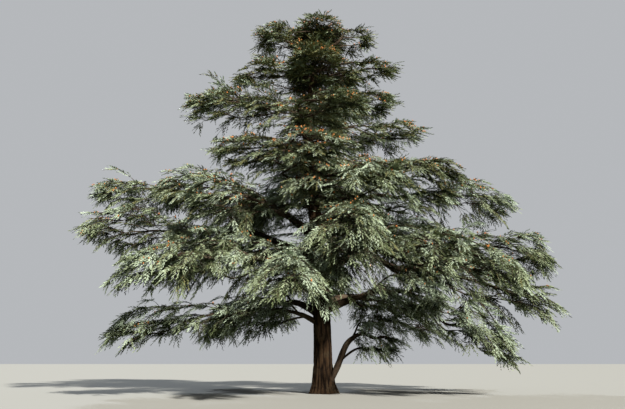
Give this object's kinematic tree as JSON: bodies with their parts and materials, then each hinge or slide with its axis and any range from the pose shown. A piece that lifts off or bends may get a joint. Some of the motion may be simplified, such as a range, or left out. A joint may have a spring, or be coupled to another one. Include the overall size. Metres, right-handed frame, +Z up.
{
  "type": "cedar tree",
  "caption": "Large spreading blue cedar with a thick tapering trunk, long level boughs and flat tiers of silvery needles, rooted in the ground.",
  "frame": {"origin": "middle of the flat cut under the trunk, at ground level", "axes": "+Z up, +X towards the right of the picture, +Y away from its viewer"},
  "size_m": [27.0897, 23.7298, 22.8829],
  "materials": {
    "trunk_bark": "rough, fissured dark brown bark",
    "limb_bark": "rough grey-brown bark",
    "needles": "silvery blue-green needles in sprays"
  },
  "bodies": {
    "root": {"trunk": "trunk_bark", "bough_base_right": "limb_bark", "bough_high_front_left": "limb_bark", "bough_high_left": "limb_bark", "bough_high_right": "limb_bark", "bough_low_back_left": "limb_bark", "bough_low_back_right": "limb_bark", "bough_low_front": "limb_bark", "bough_low_left": "limb_bark", "bough_low_right": "limb_bark", "bough_mid_back": "limb_bark", "bough_mid_back_left": "limb_bark", "bough_mid_back_right": "limb_bark", "bough_mid_front_left": "limb_bark", "bough_mid_front_right": "limb_bark", "bough_mid_left": "limb_bark", "bough_mid_right": "limb_bark", "bough_upper_left": "limb_bark", "foliage_base_right": "needles", "foliage_crown_back": "needles", "foliage_crown_front": "needles", "foliage_crown_left": "needles", "foliage_crown_right": "needles", "foliage_crown_right_under": "needles", "foliage_head_left": "needles", "foliage_head_middle": "needles", "foliage_head_right": "needles", "foliage_high_back_left": "needles", "foliage_high_back_right": "needles", "foliage_high_front": "needles", "foliage_high_front_left": "needles", "foliage_high_left_inner": "needles", "foliage_high_left_outer": "needles", "foliage_high_right_inner": "needles", "foliage_high_right_outer": "needles", "foliage_low_back_left": "needles", "foliage_low_back_right": "needles", "foliage_low_front": "needles", "foliage_low_left_inner": "needles", "foliage_low_left_outer": "needles", "foliage_low_right_inner": "needles", "foliage_low_right_outer": "needles", "foliage_mid_back": "needles", "foliage_mid_back_left": "needles", "foliage_mid_back_right": "needles", "foliage_mid_front_left": "needles", "foliage_mid_front_right_inner": "needles", "foliage_mid_front_right_outer": "needles", "foliage_mid_left_inner": "needles", "foliage_mid_left_outer": "needles", "foliage_mid_right_inner": "needles", "foliage_mid_right_outer": "needles", "foliage_mid_right_under": "needles", "foliage_shelf_body": "needles", "foliage_shelf_left": "needles", "foliage_shelf_right": "needles", "foliage_upper_back": "needles", "foliage_upper_front": "needles", "foliage_upper_left": "needles", "foliage_upper_right": "needles"}
  },
  "joints": []
}
